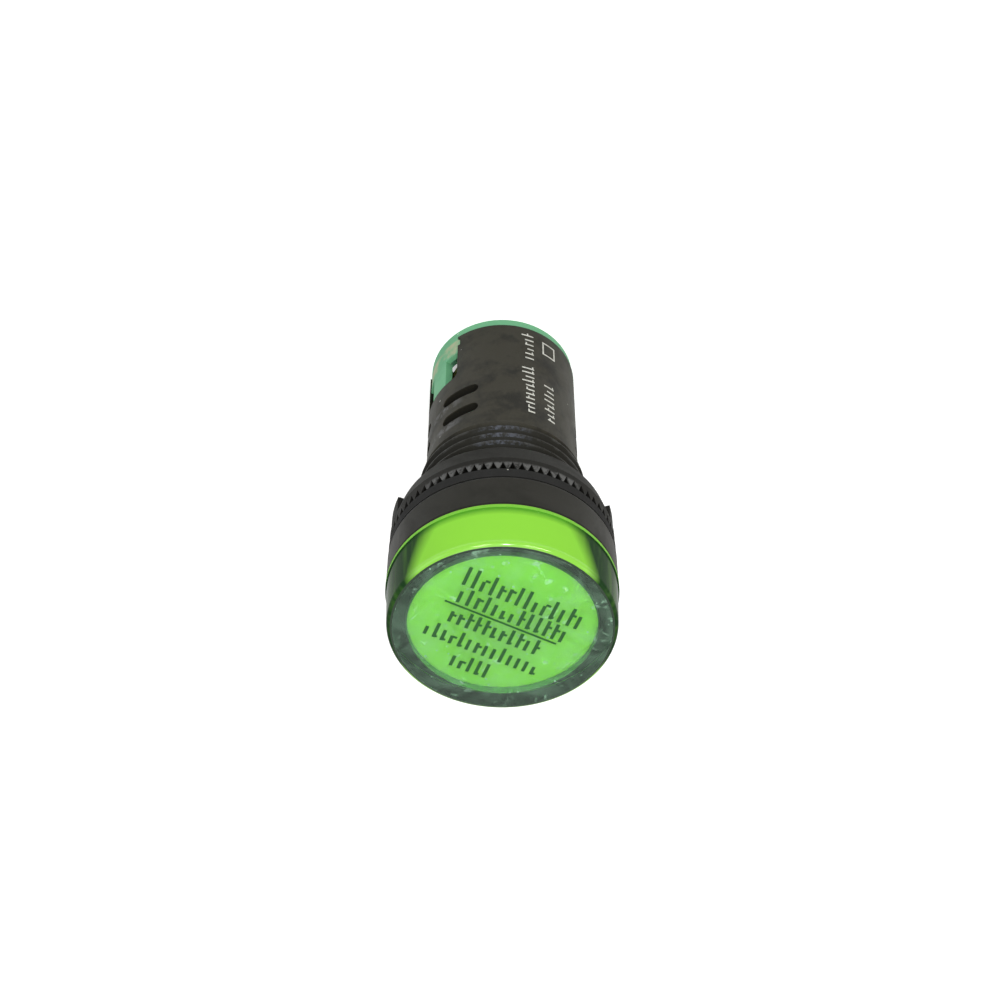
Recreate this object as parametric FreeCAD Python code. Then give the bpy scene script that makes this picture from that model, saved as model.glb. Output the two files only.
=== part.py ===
"""Panel pilot light: a 22 mm LED indicator for a control panel.

The lamp stands on its rear end with the lens up. +Z runs along the axis towards the lens, the
origin is the middle of the rear face, the two terminals lie on +X and -X, and the printed side of
the sleeve faces -Y. Every length is in millimetres and every angle in degrees.

Pieces, from the lens down: a clear green lens cap with a protective film on its face, a diffuser
cup, a lens seal, a round board of light emitting diodes, a moulded body shell with bezel, threaded
barrel and slotted sleeve, a panel gasket, a mounting nut with a toothed front edge, an upright
driver board with its components, and a terminal base that closes the rear and holds two clamp
terminals.
"""

import FreeCAD, Part

import math
import os

from FreeCAD import Vector

# Overall stack, from the rear face up
BARREL_LENGTH = 39.5          # rear face to the shoulder that seats on the panel
BEZEL_HEIGHT = 5.35           # shoulder to the rear edge of the lens
LENS_HEIGHT = 6.65            # rear edge of the lens to its front face
FILM_THICKNESS = 0.12

# Body shell
THREAD_RADIUS = 10.95
THREAD_DEPTH = 0.75
THREAD_PITCH = 1.5
THREAD_SPARE_TURNS = 1        # below the nut on the thickest panel
THREAD_CREST_WIDTH = 0.2
THREAD_RUNOUT_DEPTH = 0.4     # of the last, shallow turn
THREAD_FLANK_ANGLE = 30.0     # of each flank, from the plane across the axis
NECK_INSET = 0.05             # plain stretch of barrel under the gasket, inside the thread
HEAD_OVERHANG = 3.5           # bezel beyond the thread
BEZEL_EDGE_ROUND = 0.5
SLEEVE_INSET = 0.8            # sleeve inside the thread, so that the nut passes over it
SLEEVE_WALL = 1.2
HEAD_FLOOR = 1.4              # thickness of the shoulder under the board
BOARD_BORE_CLEARANCE = 0.15
SEAL_SEAT_DEPTH = 2.45        # below the rear edge of the lens

# Vent slots and terminal windows in the sleeve
SLOT_WIDTH = 1.8
SLOT_LENGTH = 5.7
SLOT_ANGLE = 26.75            # either side of each terminal
SLOT_HEIGHTS = (15.3, 19.35)
WINDOW_SIDE_MARGIN = 0.28     # beyond the clamp bay on each side
WINDOW_TOP = 10.95
WINDOW_CORNER = 1.0
NOTCH_DEPTH = 0.35
NOTCH_BOTTOM = 2.3
NOTCH_HEIGHT = 1.5

# Panel gasket and mounting nut
GASKET_THICKNESS = 1.4
GASKET_INSET = 0.05           # inside the bezel
GASKET_CLEARANCE = 0.1        # round the neck and the thread
NUT_GAP = 0.1                 # tooth tips to gasket
NUT_THREAD_CLEARANCE = 0.08
NUT_HEIGHT = 5.2
NUT_INSET = 0.1               # inside the bezel
NUT_FLANGE_HEIGHT = 0.8       # plain band below the roots of the teeth
NUT_TAPER = 0.85              # from the plain band to the rear face
NUT_REAR_ROUND = 0.35
NUT_CROWN_WIDTH = 2.0
NUT_CROWN_FLOOR = 0.2         # inside the crown, below the roots of the teeth
TOOTH_COUNT = 76
TOOTH_DEPTH = 1.3
TOOTH_TIP_WIDTH = 0.2
TOOTH_CUT_MARGIN = 0.5        # past both walls of the crown
LUG_INSET = 0.1               # inside the plain band
LUG_HALF_ANGLE = 19.0
LUG_ANGLE = 25.75             # of the first lug, from +X towards +Y
NUT_TRAVEL = 6.0              # thickest panel

# Lens cap, diffuser cup and seal
LENS_RIM_OVERHANG = 0.05      # beyond the bezel
LENS_RIM_HEIGHT = 0.55
LENS_RIM_STEP = 0.15          # from the rim in to the side of the cap
LENS_DRAFT = 0.25             # from the rear of the side to its front
LENS_EDGE_ROUND = 0.75
LENS_FRONT_WALL = 1.2
LENS_SIDE_WALL = 2.0
LENS_SPIGOT_WALL = 0.65
LENS_SPIGOT_LENGTH = 1.75
LENS_FIT_GAP = 0.05
FILM_MARGIN = 0.85            # inside the edge of the face
CUP_GAP = 0.15                # round the cup
CUP_TOP_GAP = 0.8             # cup to the inside of the lens
CUP_WALL = 0.9
CUP_EDGE_ROUND = 0.5
SEAL_WIDTH = 0.6

# Boards and components
LED_BOARD_THICKNESS = 1.2
LED_RADIUS = 1.5
LED_FLANGE_RADIUS = 1.8
LED_FLANGE_HEIGHT = 0.8
LED_BODY_HEIGHT = 2.6
LED_RING_RADIUS = 6.6
LED_RING_COUNT = 6
DRIVER_THICKNESS = 1.2
DRIVER_EDGE_GAP = 1.45        # to the bore of the sleeve
DRIVER_TOP_GAP = 1.6          # below the diode board
DRIVER_SLOT_DEPTH = 1.2
DRIVER_SLOT_CLEARANCE = 0.1
PIN_SIDE = 0.64
PIN_SPACING = 2.54
PIN_OVERLAP = 4.0             # along the driver board
PIN_STAND_OUT = 0.7
PIN_HOLE_CLEARANCE = 0.1
RESISTOR_RADIUS = 1.6
RESISTOR_LENGTH = 8.0
RESISTOR_END_ROUND = 0.4
RESISTOR_COUNT = 2
RESISTOR_LEAD_RADIUS = 0.3
RESISTOR_LEAD_REACH = 1.5     # beyond each end of the body
RESISTOR_GAP = 0.7            # between the two, and above the rectifier
CAPACITOR_DEPTH = 4.4
CAPACITOR_WIDTH = 9.0
CAPACITOR_LENGTH = 8.0
CAPACITOR_ROUND = 0.5
RECTIFIER_RADIUS = 3.0
RECTIFIER_THICKNESS = 3.2
RECTIFIER_FLAT = 2.4          # from its centre to the flat that marks a pole
COMPONENT_STANDOFF = 0.3
COMPONENT_GAP = 0.5           # lowest components above the leads
WIRE_RADIUS = 0.6
WIRE_RISE = 1.6               # straight, above the solder joint

# Terminal base and terminals
FLANGE_INSET = 0.2            # inside the sleeve
FLANGE_THICKNESS = 1.8
FLANGE_CHAMFER = 0.3
PLUG_CLEARANCE = 0.1
BASE_ROOF = 0.5               # above the pockets for the screws
KEY_TOP = 5.1
KEY_CLEARANCE = 0.06
BARB_CLEARANCE = 0.06
COLUMN_WIDTH = 3.5
COLUMN_THICKNESS = 1.0
SKIRT_THICKNESS = 0.7
CENTRE_WALL = 2.4
ACCESS_CLEARANCE = 0.4        # round the screw's head
CLAMP_TRAVEL = 2.0
CLAMP_FLOOR_GAP = 0.6         # clamp to bay floor with the screw backed out
SCREW_RADIUS = 1.75
SCREW_HEAD_RADIUS = 2.75
SCREW_HEAD_HEIGHT = 2.0
SCREW_HEAD_ROUND = 0.5
SCREW_RECESS_WIDTH = 0.7
SCREW_RECESS_LENGTH = 3.2
SCREW_RECESS_DEPTH = 1.1
SCREW_REACH = 1.8             # beyond the terminal plate
SCREW_TIP_CHAMFER = 0.4
SCREW_POCKET_DEPTH = 0.3      # beyond the screw's tip
SCREW_POCKET_CLEARANCE = 0.16
SCREW_CLEARANCE = 0.08
CLAMP_WALL_GAP = 0.2          # to the centre wall
CLAMP_CORNER_GAP = 0.11       # outer corners to the skirt
CLAMP_SIDE_GAP = 0.25         # to each side of its bay
CLAMP_HALF_WIDTH = 3.6
CLAMP_THICKNESS = 1.0
CLAMP_LIP_THICKNESS = 0.8
CLAMP_LIP_HEIGHT = 1.7
CLAMP_CORNER = 0.4
CLAMP_GAP = 0.1               # lips to terminal plate at rest
CLAMP_SEAT_HEIGHT = 6.2       # underside of the clamp at rest
PLATE_THICKNESS = 1.2
PLATE_HALF_WIDTH = 3.1
PLATE_EDGE = 1.05             # inside the plug of the base
TAB_THICKNESS = 0.8
TAB_WIDTH = 3.0
TAB_RISE = 3.2                # above the terminal base
TAB_CLEARANCE = 0.05

# Heights worked out from the stack
SHOULDER = BARREL_LENGTH
LENS_SEAT = SHOULDER + BEZEL_HEIGHT
LENS_FRONT = LENS_SEAT + LENS_HEIGHT
GASKET_BOTTOM = SHOULDER - GASKET_THICKNESS
THREAD_TOP = GASKET_BOTTOM
THREAD_TURNS = math.ceil((NUT_GAP + NUT_HEIGHT + NUT_TRAVEL) / THREAD_PITCH) + THREAD_SPARE_TURNS
SEAL_SEAT = LENS_SEAT - SEAL_SEAT_DEPTH
BOARD_SEAT = SHOULDER + HEAD_FLOOR
LED_BOARD_TOP = BOARD_SEAT + LED_BOARD_THICKNESS
NUT_FRONT = GASKET_BOTTOM - NUT_GAP
NUT_ROOT = NUT_FRONT - TOOTH_DEPTH
NUT_REAR = NUT_FRONT - NUT_HEIGHT
BAY_FLOOR = CLAMP_SEAT_HEIGHT - CLAMP_TRAVEL - CLAMP_FLOOR_GAP
CLAMP_TOP = CLAMP_SEAT_HEIGHT + CLAMP_THICKNESS + CLAMP_LIP_HEIGHT
PLATE_BOTTOM = CLAMP_TOP + CLAMP_GAP
PLATE_TOP = PLATE_BOTTOM + PLATE_THICKNESS
SCREW_TIP = PLATE_TOP + SCREW_REACH
SCREW_POCKET_TOP = SCREW_TIP + SCREW_POCKET_DEPTH
BASE_TOP = SCREW_POCKET_TOP + BASE_ROOF

# Radii of the barrel, the head and the nut
NECK_RADIUS = THREAD_RADIUS - NECK_INSET
THREAD_ROOT_RADIUS = THREAD_RADIUS - THREAD_DEPTH
THREAD_RUNOUT_RADIUS = THREAD_ROOT_RADIUS + THREAD_RUNOUT_DEPTH
SLEEVE_RADIUS = THREAD_RADIUS - SLEEVE_INSET
SLEEVE_BORE = SLEEVE_RADIUS - SLEEVE_WALL
BEZEL_RADIUS = THREAD_RADIUS + HEAD_OVERHANG
GASKET_RADIUS = BEZEL_RADIUS - GASKET_INSET
NUT_BORE = THREAD_RADIUS + NUT_THREAD_CLEARANCE
NUT_FLANGE_RADIUS = BEZEL_RADIUS - NUT_INSET
NUT_REAR_RADIUS = NUT_FLANGE_RADIUS - NUT_TAPER
LUG_RADIUS = NUT_FLANGE_RADIUS - LUG_INSET
LENS_RIM_RADIUS = BEZEL_RADIUS + LENS_RIM_OVERHANG
LENS_REAR_RADIUS = LENS_RIM_RADIUS - LENS_RIM_STEP
LENS_FRONT_RADIUS = LENS_REAR_RADIUS - LENS_DRAFT
LENS_BORE_RADIUS = LENS_FRONT_RADIUS - LENS_SIDE_WALL
FILM_RADIUS = LENS_FRONT_RADIUS - FILM_MARGIN
CUP_RADIUS = LENS_BORE_RADIUS - CUP_GAP
SPIGOT_RADIUS = LENS_BORE_RADIUS + LENS_SPIGOT_WALL
SPIGOT_BORE = SPIGOT_RADIUS + LENS_FIT_GAP
LED_BOARD_RADIUS = CUP_RADIUS - CUP_WALL
BOARD_BORE = LED_BOARD_RADIUS + BOARD_BORE_CLEARANCE

# Places inside the terminal base, from the centre wall outwards
FLANGE_RADIUS = SLEEVE_RADIUS - FLANGE_INSET
PLUG_RADIUS = SLEEVE_BORE - PLUG_CLEARANCE
BAY_INNER = CENTRE_WALL / 2
BAY_HALF_WIDTH = CLAMP_HALF_WIDTH + CLAMP_SIDE_GAP
WINDOW_WIDTH = 2 * (BAY_HALF_WIDTH + WINDOW_SIDE_MARGIN)
CLAMP_INNER = BAY_INNER + CLAMP_WALL_GAP
CLAMP_CORNER_REACH = FLANGE_RADIUS - SKIRT_THICKNESS - CLAMP_CORNER_GAP
CLAMP_OUTER = math.sqrt(CLAMP_CORNER_REACH ** 2 - CLAMP_HALF_WIDTH ** 2)
SCREW_OFFSET = (CLAMP_INNER + CLAMP_OUTER) / 2
ACCESS_RADIUS = SCREW_HEAD_RADIUS + ACCESS_CLEARANCE
PLATE_OUTER = PLUG_RADIUS - PLATE_EDGE
TAB_FACE = BAY_INNER + TAB_THICKNESS

# Places on the driver board, from the leads upwards
DRIVER_FACE = DRIVER_THICKNESS / 2
DRIVER_WIDTH = 2 * (SLEEVE_BORE - DRIVER_EDGE_GAP)
DRIVER_TOP = BOARD_SEAT - DRIVER_TOP_GAP
DRIVER_BOTTOM = BASE_TOP - DRIVER_SLOT_DEPTH
LEAD_X = TAB_FACE + WIRE_RADIUS
LEAD_BEND = LEAD_X - DRIVER_FACE
LEAD_START = BASE_TOP + TAB_RISE / 2
LEAD_END = LEAD_START + WIRE_RISE + LEAD_BEND
COMPONENT_BOTTOM = LEAD_END + WIRE_RADIUS + COMPONENT_GAP
RECTIFIER_HEIGHT = COMPONENT_BOTTOM + RECTIFIER_RADIUS
RESISTOR_HEIGHT = RECTIFIER_HEIGHT + RECTIFIER_RADIUS + RESISTOR_GAP + RESISTOR_RADIUS
RESISTOR_SPACING = 2 * RESISTOR_RADIUS + RESISTOR_GAP

AXIS = Vector(0, 0, 1)
CENTRE = Vector(0, 0, 0)
FULL_TURN = 360.0


def revolved(outline):
    """Solid of a closed outline of (radius, height) points turned about the axis."""
    points = [Vector(radius, 0, height) for radius, height in outline]
    face = Part.Face(Part.makePolygon(points + [points[0]]))
    return face.revolve(CENTRE, AXIS, FULL_TURN)


def disc(radius, bottom, top, x=0.0, y=0.0):
    """Upright cylinder between two heights."""
    return Part.makeCylinder(radius, top - bottom, Vector(x, y, bottom), AXIS)


def ring(inner, outer, bottom, top):
    """Upright tube between two heights."""
    return disc(outer, bottom, top).cut(disc(inner, bottom, top))


def block(low, high):
    """Box between two opposite corners, each an (x, y, z) triple."""
    size = [b - a for a, b in zip(low, high)]
    return Part.makeBox(size[0], size[1], size[2], Vector(*low))


def turned(shape, angle):
    """Copy of a shape turned about the axis."""
    copy = shape.copy()
    copy.rotate(CENTRE, AXIS, angle)
    return copy


def circle_edges(shape, radius, height):
    """Round edges of a shape at one radius from the axis and one height."""
    found = []
    for edge in shape.Edges:
        curve = edge.Curve
        if isinstance(curve, Part.Circle) and abs(curve.Radius - radius) < 1e-6:
            on_axis = math.hypot(curve.Center.x, curve.Center.y) < 1e-6
            if on_axis and abs(curve.Center.z - height) < 1e-6:
                found.append(edge)
    return found


def upright_edges(shape, corners):
    """Upright straight edges that stand at the given (x, y) corners."""
    found = []
    for edge in shape.Edges:
        low = edge.Vertexes[0].Point
        high = edge.Vertexes[-1].Point
        if math.hypot(low.x - high.x, low.y - high.y) < 1e-6:
            if any(math.hypot(low.x - x, low.y - y) < 1e-6 for x, y in corners):
                found.append(edge)
    return found


def sector(radius, half_angle, bottom, top, angle):
    """Wedge of a cylinder, centred on one direction."""
    wedge = Part.makeCylinder(radius, top - bottom, Vector(0, 0, bottom), AXIS, 2 * half_angle)
    return turned(wedge, angle - half_angle)


def thread_outline():
    """Points of the barrel from the rear end of its thread up to the neck."""
    flank = (THREAD_RADIUS - THREAD_ROOT_RADIUS) * math.tan(math.radians(THREAD_FLANK_ANGLE))
    runout_flank = (THREAD_RUNOUT_RADIUS - THREAD_ROOT_RADIUS) * math.tan(math.radians(THREAD_FLANK_ANGLE))
    lowest = THREAD_TOP - THREAD_PITCH * (THREAD_TURNS + 0.5)
    half_crest = THREAD_CREST_WIDTH / 2
    points = [
        (SLEEVE_RADIUS, lowest - half_crest - runout_flank),
        (THREAD_RUNOUT_RADIUS, lowest - half_crest),
        (THREAD_RUNOUT_RADIUS, lowest + half_crest),
        (THREAD_ROOT_RADIUS, lowest + half_crest + runout_flank),
    ]
    for turn in range(1, THREAD_TURNS + 1):
        middle = lowest + turn * THREAD_PITCH
        points.append((THREAD_ROOT_RADIUS, middle - half_crest - flank))
        points.append((THREAD_RADIUS, middle - half_crest))
        points.append((THREAD_RADIUS, middle + half_crest))
        points.append((THREAD_ROOT_RADIUS, middle + half_crest + flank))
    points.append((THREAD_ROOT_RADIUS, THREAD_TOP))
    return points


def vent_slots():
    """Cutters for the rows of rounded slots either side of each terminal."""
    half = SLOT_LENGTH / 2 - SLOT_WIDTH / 2
    cutters = []
    for height in SLOT_HEIGHTS:
        reach = SLEEVE_RADIUS + SLEEVE_WALL
        depth = Vector(reach, 0, 0)
        slot = block((0, -half, height - SLOT_WIDTH / 2), (reach, half, height + SLOT_WIDTH / 2))
        for y in (-half, half):
            end = Part.makeCylinder(SLOT_WIDTH / 2, depth.Length, Vector(0, y, height), Vector(1, 0, 0))
            slot = slot.fuse(end)
        slot = slot.removeSplitter()
        for terminal in (0.0, 180.0):
            for side in (-SLOT_ANGLE, SLOT_ANGLE):
                cutters.append(turned(slot, terminal + side))
    return cutters


def terminal_window():
    """Cutter for both windows, open to the rear, with a snap notch in each edge."""
    half = WINDOW_WIDTH / 2
    reach = SLEEVE_RADIUS + SLEEVE_WALL
    opening = block((-reach, -half, 0), (reach, half, WINDOW_TOP))
    top_edges = [edge for edge in opening.Edges if abs(edge.BoundBox.ZMin - WINDOW_TOP) < 1e-6]
    corners = [edge for edge in top_edges if edge.BoundBox.XLength > reach]
    opening = opening.makeFillet(WINDOW_CORNER, corners)
    deep = half + NOTCH_DEPTH
    notch = block((-reach, -deep, NOTCH_BOTTOM), (reach, deep, NOTCH_BOTTOM + NOTCH_HEIGHT))
    return opening.fuse(notch)


def body_shell():
    """One moulding: bezel, threaded barrel and the sleeve with its slots and windows."""
    outline = [(SLEEVE_BORE, FLANGE_THICKNESS), (SLEEVE_RADIUS, FLANGE_THICKNESS)]
    outline += thread_outline()
    outline += [
        (NECK_RADIUS, THREAD_TOP),
        (NECK_RADIUS, SHOULDER),
        (BEZEL_RADIUS, SHOULDER),
        (BEZEL_RADIUS, LENS_SEAT),
        (SPIGOT_BORE, LENS_SEAT),
        (SPIGOT_BORE, SEAL_SEAT),
        (BOARD_BORE, SEAL_SEAT),
        (BOARD_BORE, BOARD_SEAT),
        (SLEEVE_BORE, BOARD_SEAT),
    ]
    shell = revolved(outline)
    edges = circle_edges(shell, BEZEL_RADIUS, LENS_SEAT) + circle_edges(shell, BEZEL_RADIUS, SHOULDER)
    shell = shell.makeFillet(BEZEL_EDGE_ROUND, edges)
    for cutter in vent_slots():
        shell = shell.cut(cutter)
    return shell.cut(terminal_window())


def lens_cap():
    """Clear green cap: flat face, rounded rim, a lip at the bezel and a spigot inside it."""
    lip_top = LENS_SEAT + LENS_RIM_HEIGHT
    outer = revolved([
        (0, LENS_SEAT - LENS_SPIGOT_LENGTH),
        (SPIGOT_RADIUS, LENS_SEAT - LENS_SPIGOT_LENGTH),
        (SPIGOT_RADIUS, LENS_SEAT),
        (LENS_RIM_RADIUS, LENS_SEAT),
        (LENS_RIM_RADIUS, lip_top),
        (LENS_REAR_RADIUS, lip_top),
        (LENS_FRONT_RADIUS, LENS_FRONT),
        (0, LENS_FRONT),
    ])
    outer = outer.makeFillet(LENS_EDGE_ROUND, circle_edges(outer, LENS_FRONT_RADIUS, LENS_FRONT))
    inside_top = LENS_FRONT - LENS_FRONT_WALL
    inside = disc(LENS_BORE_RADIUS, LENS_SEAT - LENS_SPIGOT_LENGTH, inside_top)
    inside = inside.makeFillet(CUP_EDGE_ROUND, circle_edges(inside, LENS_BORE_RADIUS, inside_top))
    return outer.cut(inside)


def diffuser_cup():
    """Cup that covers the diodes and rests on the seal seat."""
    top = LENS_FRONT - LENS_FRONT_WALL - CUP_TOP_GAP
    cup = disc(CUP_RADIUS, SEAL_SEAT, top)
    cup = cup.makeFillet(CUP_EDGE_ROUND, circle_edges(cup, CUP_RADIUS, top))
    return cup.cut(disc(CUP_RADIUS - CUP_WALL, SEAL_SEAT, top - CUP_WALL))


def lens_seal():
    """Flat ring between the spigot of the lens and its seat."""
    top = LENS_SEAT - LENS_SPIGOT_LENGTH
    return ring(SPIGOT_RADIUS - SEAL_WIDTH, SPIGOT_RADIUS, SEAL_SEAT, top)


def protective_film():
    """Peel-off film on the face of the lens."""
    return disc(FILM_RADIUS, LENS_FRONT, LENS_FRONT + FILM_THICKNESS)


def pin_places():
    """(x, y) of the two pins that join the boards."""
    x = DRIVER_FACE + PIN_SIDE / 2
    return [(x, -PIN_SPACING / 2), (x, PIN_SPACING / 2)]


def led_board():
    """Round board on the head's floor, with holes for the two pins."""
    board = disc(LED_BOARD_RADIUS, BOARD_SEAT, LED_BOARD_TOP)
    half = PIN_SIDE / 2 + PIN_HOLE_CLEARANCE
    for x, y in pin_places():
        board = board.cut(block((x - half, y - half, BOARD_SEAT), (x + half, y + half, LED_BOARD_TOP)))
    return board


def link_pins():
    """Two square pins soldered to the driver board that pass through the diode board."""
    half = PIN_SIDE / 2
    bottom = DRIVER_TOP - PIN_OVERLAP
    top = LED_BOARD_TOP + PIN_STAND_OUT
    pins = [block((x - half, y - half, bottom), (x + half, y + half, top)) for x, y in pin_places()]
    return Part.makeCompound(pins)


def led():
    """One round diode with a flange and a domed end, standing on the board at the axis."""
    shoulder = LED_BOARD_TOP + LED_FLANGE_HEIGHT
    dome = shoulder + LED_BODY_HEIGHT
    body = disc(LED_FLANGE_RADIUS, LED_BOARD_TOP, shoulder).fuse(disc(LED_RADIUS, shoulder, dome))
    cap = Part.makeSphere(LED_RADIUS, Vector(0, 0, dome), AXIS, 0, 90, FULL_TURN)
    return body.fuse(cap).removeSplitter()


def leds():
    """A ring of diodes on the board."""
    pieces = []
    for index in range(LED_RING_COUNT):
        piece = led()
        piece.translate(Vector(LED_RING_RADIUS, 0, 0))
        pieces.append(turned(piece, FULL_TURN * (index + 0.5) / LED_RING_COUNT))
    return Part.makeCompound(pieces)


def driver_board():
    """Upright board that stands in the slot of the terminal base."""
    half = DRIVER_WIDTH / 2
    return block((-DRIVER_FACE, -half, DRIVER_BOTTOM), (DRIVER_FACE, half, DRIVER_TOP))


def dropper_resistors():
    """Two round resistors across the board, each with its leads bent down to it."""
    pieces = []
    centre_x = -DRIVER_FACE - COMPONENT_STANDOFF - RESISTOR_RADIUS
    half_span = RESISTOR_LENGTH / 2 + RESISTOR_LEAD_REACH
    for index in range(RESISTOR_COUNT):
        height = RESISTOR_HEIGHT + index * RESISTOR_SPACING
        start = Vector(centre_x, -RESISTOR_LENGTH / 2, height)
        body = Part.makeCylinder(RESISTOR_RADIUS, RESISTOR_LENGTH, start, Vector(0, 1, 0))
        rims = [edge for edge in body.Edges if isinstance(edge.Curve, Part.Circle)]
        body = body.makeFillet(RESISTOR_END_ROUND, rims)
        across = Part.makeCylinder(RESISTOR_LEAD_RADIUS, 2 * half_span,
                                   Vector(centre_x, -half_span, height), Vector(0, 1, 0))
        body = body.fuse(across)
        for y in (-half_span, half_span):
            elbow = Part.makeSphere(RESISTOR_LEAD_RADIUS, Vector(centre_x, y, height))
            leg = Part.makeCylinder(RESISTOR_LEAD_RADIUS, -DRIVER_FACE - centre_x,
                                    Vector(centre_x, y, height), Vector(1, 0, 0))
            body = body.fuse(elbow).fuse(leg)
        pieces.append(body)
    return Part.makeCompound(pieces)


def film_capacitor():
    """Boxed capacitor on the +X side of the driver board."""
    half = CAPACITOR_WIDTH / 2
    far = DRIVER_FACE + CAPACITOR_DEPTH
    case = block((DRIVER_FACE, -half, COMPONENT_BOTTOM), (far, half, COMPONENT_BOTTOM + CAPACITOR_LENGTH))
    outer = [edge for edge in case.Edges if edge.BoundBox.XMin > far - 1e-6]
    return case.makeFillet(CAPACITOR_ROUND, outer)


def bridge_rectifier():
    """Round bridge rectifier on the -X side of the driver board."""
    start = Vector(-DRIVER_FACE, 0, RECTIFIER_HEIGHT)
    case = Part.makeCylinder(RECTIFIER_RADIUS, RECTIFIER_THICKNESS, start, Vector(-1, 0, 0))
    flat = block((-DRIVER_FACE - RECTIFIER_THICKNESS, RECTIFIER_FLAT, RECTIFIER_HEIGHT - RECTIFIER_RADIUS),
                 (-DRIVER_FACE, RECTIFIER_RADIUS, RECTIFIER_HEIGHT + RECTIFIER_RADIUS))
    return case.cut(flat)


def panel_gasket():
    """Rubber ring between the shoulder and the panel."""
    return ring(THREAD_RADIUS + GASKET_CLEARANCE, GASKET_RADIUS, GASKET_BOTTOM, SHOULDER)


def nut_teeth():
    """Cutters between the teeth: radial wedges through the crown of the nut."""
    pitch = 2 * math.pi * NUT_FLANGE_RADIUS / TOOTH_COUNT
    half = (pitch - TOOTH_TIP_WIDTH) / 2
    inner = NUT_FLANGE_RADIUS - NUT_CROWN_WIDTH - TOOTH_CUT_MARGIN
    outer = NUT_FLANGE_RADIUS + TOOTH_CUT_MARGIN
    wall = [
        Vector(1, -half / NUT_FLANGE_RADIUS, 0),
        Vector(1, half / NUT_FLANGE_RADIUS, 0),
        Vector(1, 0, 0),
    ]
    heights = (NUT_FRONT, NUT_FRONT, NUT_ROOT)
    sections = []
    for radius in (inner, outer):
        points = [Vector(p.x * radius, p.y * radius, z) for p, z in zip(wall, heights)]
        sections.append(Part.makePolygon(points + [points[0]]))
    wedge = Part.makeLoft(sections, True, True)
    return Part.makeCompound([turned(wedge, FULL_TURN * index / TOOTH_COUNT) for index in range(TOOTH_COUNT)])


def mounting_nut():
    """Round nut: toothed crown towards the panel, tapered side and two grip lugs."""
    crown = NUT_FLANGE_RADIUS - NUT_CROWN_WIDTH
    floor = NUT_ROOT - NUT_CROWN_FLOOR
    flange_bottom = NUT_ROOT - NUT_FLANGE_HEIGHT
    nut = revolved([
        (NUT_BORE, NUT_REAR),
        (NUT_REAR_RADIUS, NUT_REAR),
        (NUT_FLANGE_RADIUS, flange_bottom),
        (NUT_FLANGE_RADIUS, NUT_FRONT),
        (crown, NUT_FRONT),
        (crown, floor),
        (NUT_BORE, floor),
    ])
    nut = nut.makeFillet(NUT_REAR_ROUND, circle_edges(nut, NUT_REAR_RADIUS, NUT_REAR))
    for angle in (LUG_ANGLE, LUG_ANGLE + 180):
        lug = sector(LUG_RADIUS, LUG_HALF_ANGLE, NUT_REAR, floor, angle)
        nut = nut.fuse(lug.cut(disc(crown, NUT_REAR, floor)))
    nut = nut.removeSplitter()
    return nut.cut(nut_teeth())


def window_keys():
    """Keys that fill the rear of both windows, with a barb in each snap notch."""
    half = WINDOW_WIDTH / 2 - KEY_CLEARANCE
    reach = FLANGE_RADIUS
    key = block((-reach, -half, FLANGE_THICKNESS), (reach, half, KEY_TOP))
    barb_half = WINDOW_WIDTH / 2 + NOTCH_DEPTH - BARB_CLEARANCE
    barb = block((-reach, -barb_half, NOTCH_BOTTOM + BARB_CLEARANCE),
                 (reach, barb_half, NOTCH_BOTTOM + NOTCH_HEIGHT - BARB_CLEARANCE))
    return disc(FLANGE_RADIUS, FLANGE_THICKNESS, KEY_TOP).common(key.fuse(barb))


def bay_cutter():
    """Room for one terminal on +X: clamp bay, screw access from the rear and a pocket for its tip."""
    bay = block((BAY_INNER, -BAY_HALF_WIDTH, BAY_FLOOR), (FLANGE_RADIUS, BAY_HALF_WIDTH, PLATE_BOTTOM))
    column = ring(FLANGE_RADIUS - COLUMN_THICKNESS, FLANGE_RADIUS, BAY_FLOOR, PLATE_BOTTOM)
    column = column.common(block((0, -COLUMN_WIDTH / 2, 0), (FLANGE_RADIUS, COLUMN_WIDTH / 2, BASE_TOP)))
    skirt = ring(FLANGE_RADIUS - SKIRT_THICKNESS, FLANGE_RADIUS, BAY_FLOOR, KEY_TOP)
    bay = bay.cut(column).cut(skirt)
    seat_half = PLATE_HALF_WIDTH + TAB_CLEARANCE
    seat = block((BAY_INNER, -seat_half, PLATE_BOTTOM), (PLATE_OUTER + TAB_CLEARANCE, seat_half, PLATE_TOP))
    tab_half = TAB_WIDTH / 2 + TAB_CLEARANCE
    tab = block((BAY_INNER, -tab_half, PLATE_TOP), (TAB_FACE + TAB_CLEARANCE, tab_half, BASE_TOP))
    access = disc(ACCESS_RADIUS, 0, BAY_FLOOR, SCREW_OFFSET)
    pocket = disc(SCREW_RADIUS + SCREW_POCKET_CLEARANCE, PLATE_TOP, SCREW_POCKET_TOP, SCREW_OFFSET)
    return bay.fuse(seat).fuse(tab).fuse(access).fuse(pocket)


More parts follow.
